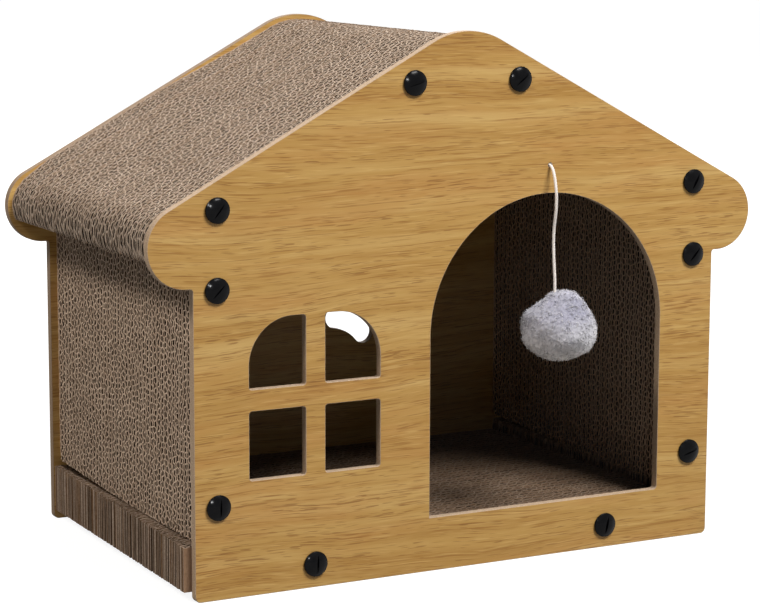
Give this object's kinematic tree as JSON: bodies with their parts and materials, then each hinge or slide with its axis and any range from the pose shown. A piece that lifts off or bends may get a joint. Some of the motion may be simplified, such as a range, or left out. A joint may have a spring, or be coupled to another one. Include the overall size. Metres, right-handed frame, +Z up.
{
  "type": "cat scratcher house",
  "caption": "Gabled cat house of corrugated scratching pads held between two wooden end panels, with an arched doorway, a window and a pom-pom hung on a cord.",
  "frame": {"origin": "middle of the house's footprint, on the surface that it stands on", "axes": "+X to the right along the front, +Y from the front panel to the back panel, +Z up"},
  "size_m": [0.462, 0.2988, 0.364],
  "materials": {
    "panel_wood": "satin",
    "corrugated_board": "matte",
    "screw_plastic": "gloss",
    "pom_pom_yarn": "matte",
    "cord_string": "matte"
  },
  "bodies": {
    "house": {"front_panel": "panel_wood", "back_panel": "panel_wood", "roof_pad_left": "corrugated_board", "roof_pad_right": "corrugated_board", "wall_pad_left": "corrugated_board", "wall_pad_right": "corrugated_board", "base_pad": "corrugated_board", "front_left_roof_upper_screw": "screw_plastic", "front_left_roof_lower_screw": "screw_plastic", "front_left_wall_upper_screw": "screw_plastic", "front_left_wall_lower_screw": "screw_plastic", "front_left_base_screw": "screw_plastic", "front_right_roof_upper_screw": "screw_plastic", "front_right_roof_lower_screw": "screw_plastic", "front_right_wall_upper_screw": "screw_plastic", "front_right_wall_lower_screw": "screw_plastic", "front_right_base_screw": "screw_plastic", "back_left_roof_upper_screw": "screw_plastic", "back_left_roof_lower_screw": "screw_plastic", "back_left_wall_upper_screw": "screw_plastic", "back_left_wall_lower_screw": "screw_plastic", "back_left_base_screw": "screw_plastic", "back_right_roof_upper_screw": "screw_plastic", "back_right_roof_lower_screw": "screw_plastic", "back_right_wall_upper_screw": "screw_plastic", "back_right_wall_lower_screw": "screw_plastic", "back_right_base_screw": "screw_plastic", "cord_knot": "cord_string"},
    "cord_arm": {"cord_upper": "cord_string"},
    "pendant": {"cord_lower": "cord_string", "pom_pom": "pom_pom_yarn"}
  },
  "joints": [
    {"name": "pom_pom_sway", "type": "hinge", "parent": "house", "child": "cord_arm", "pos_m": [0.06485, -0.13, 0.27195], "axis": [0, 1, 0], "range_deg": [-30, 30]},
    {"name": "pom_pom_push", "type": "hinge", "parent": "cord_arm", "child": "pendant", "pos_m": [0.06485, -0.1385, 0.2458], "axis": [1, 0, 0], "range_deg": [-60, 45]}
  ]
}
